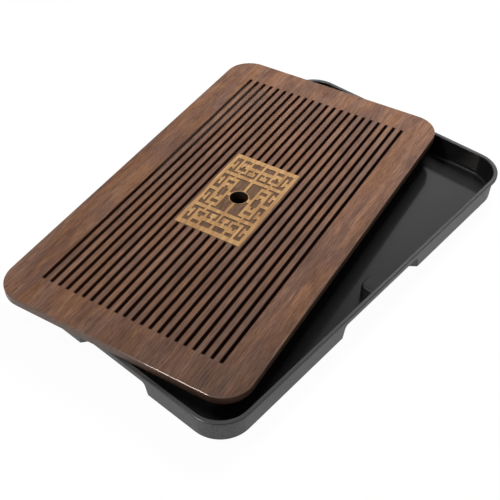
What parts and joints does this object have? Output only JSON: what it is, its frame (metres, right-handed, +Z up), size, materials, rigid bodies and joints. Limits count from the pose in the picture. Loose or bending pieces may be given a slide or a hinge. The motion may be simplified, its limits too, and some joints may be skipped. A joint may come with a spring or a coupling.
{
  "type": "tea tray",
  "caption": "Gongfu tea tray: a slotted dark bamboo board with a lattice drain plaque, lying askew on a shallow black moulded water pan",
  "frame": {"origin": "centre of the water pan's flat underside", "axes": "+X along the pan's long side, +Y along its short side towards the rear, +Z up"},
  "size_m": [0.5184, 0.3722, 0.0414],
  "materials": {
    "pan_plastic": "glossy inside, fine matte grain outside",
    "dark_bamboo": "satin, fine grain along the slots",
    "pale_bamboo": "satin, engraved lattice",
    "pad_rubber": "matte"
  },
  "bodies": {
    "pan": {"water_pan": "pan_plastic", "foot_pad_front_left": "pad_rubber", "foot_pad_front_right": "pad_rubber", "foot_pad_rear_left": "pad_rubber", "foot_pad_rear_right": "pad_rubber"},
    "board": {"slotted_board": "dark_bamboo", "drain_plaque": "pale_bamboo"}
  },
  "joints": [
    {"name": "board_lift", "type": "slide", "parent": "pan", "child": "board", "axis": [0, 0, 1], "range_m": [0, 0.1]}
  ]
}
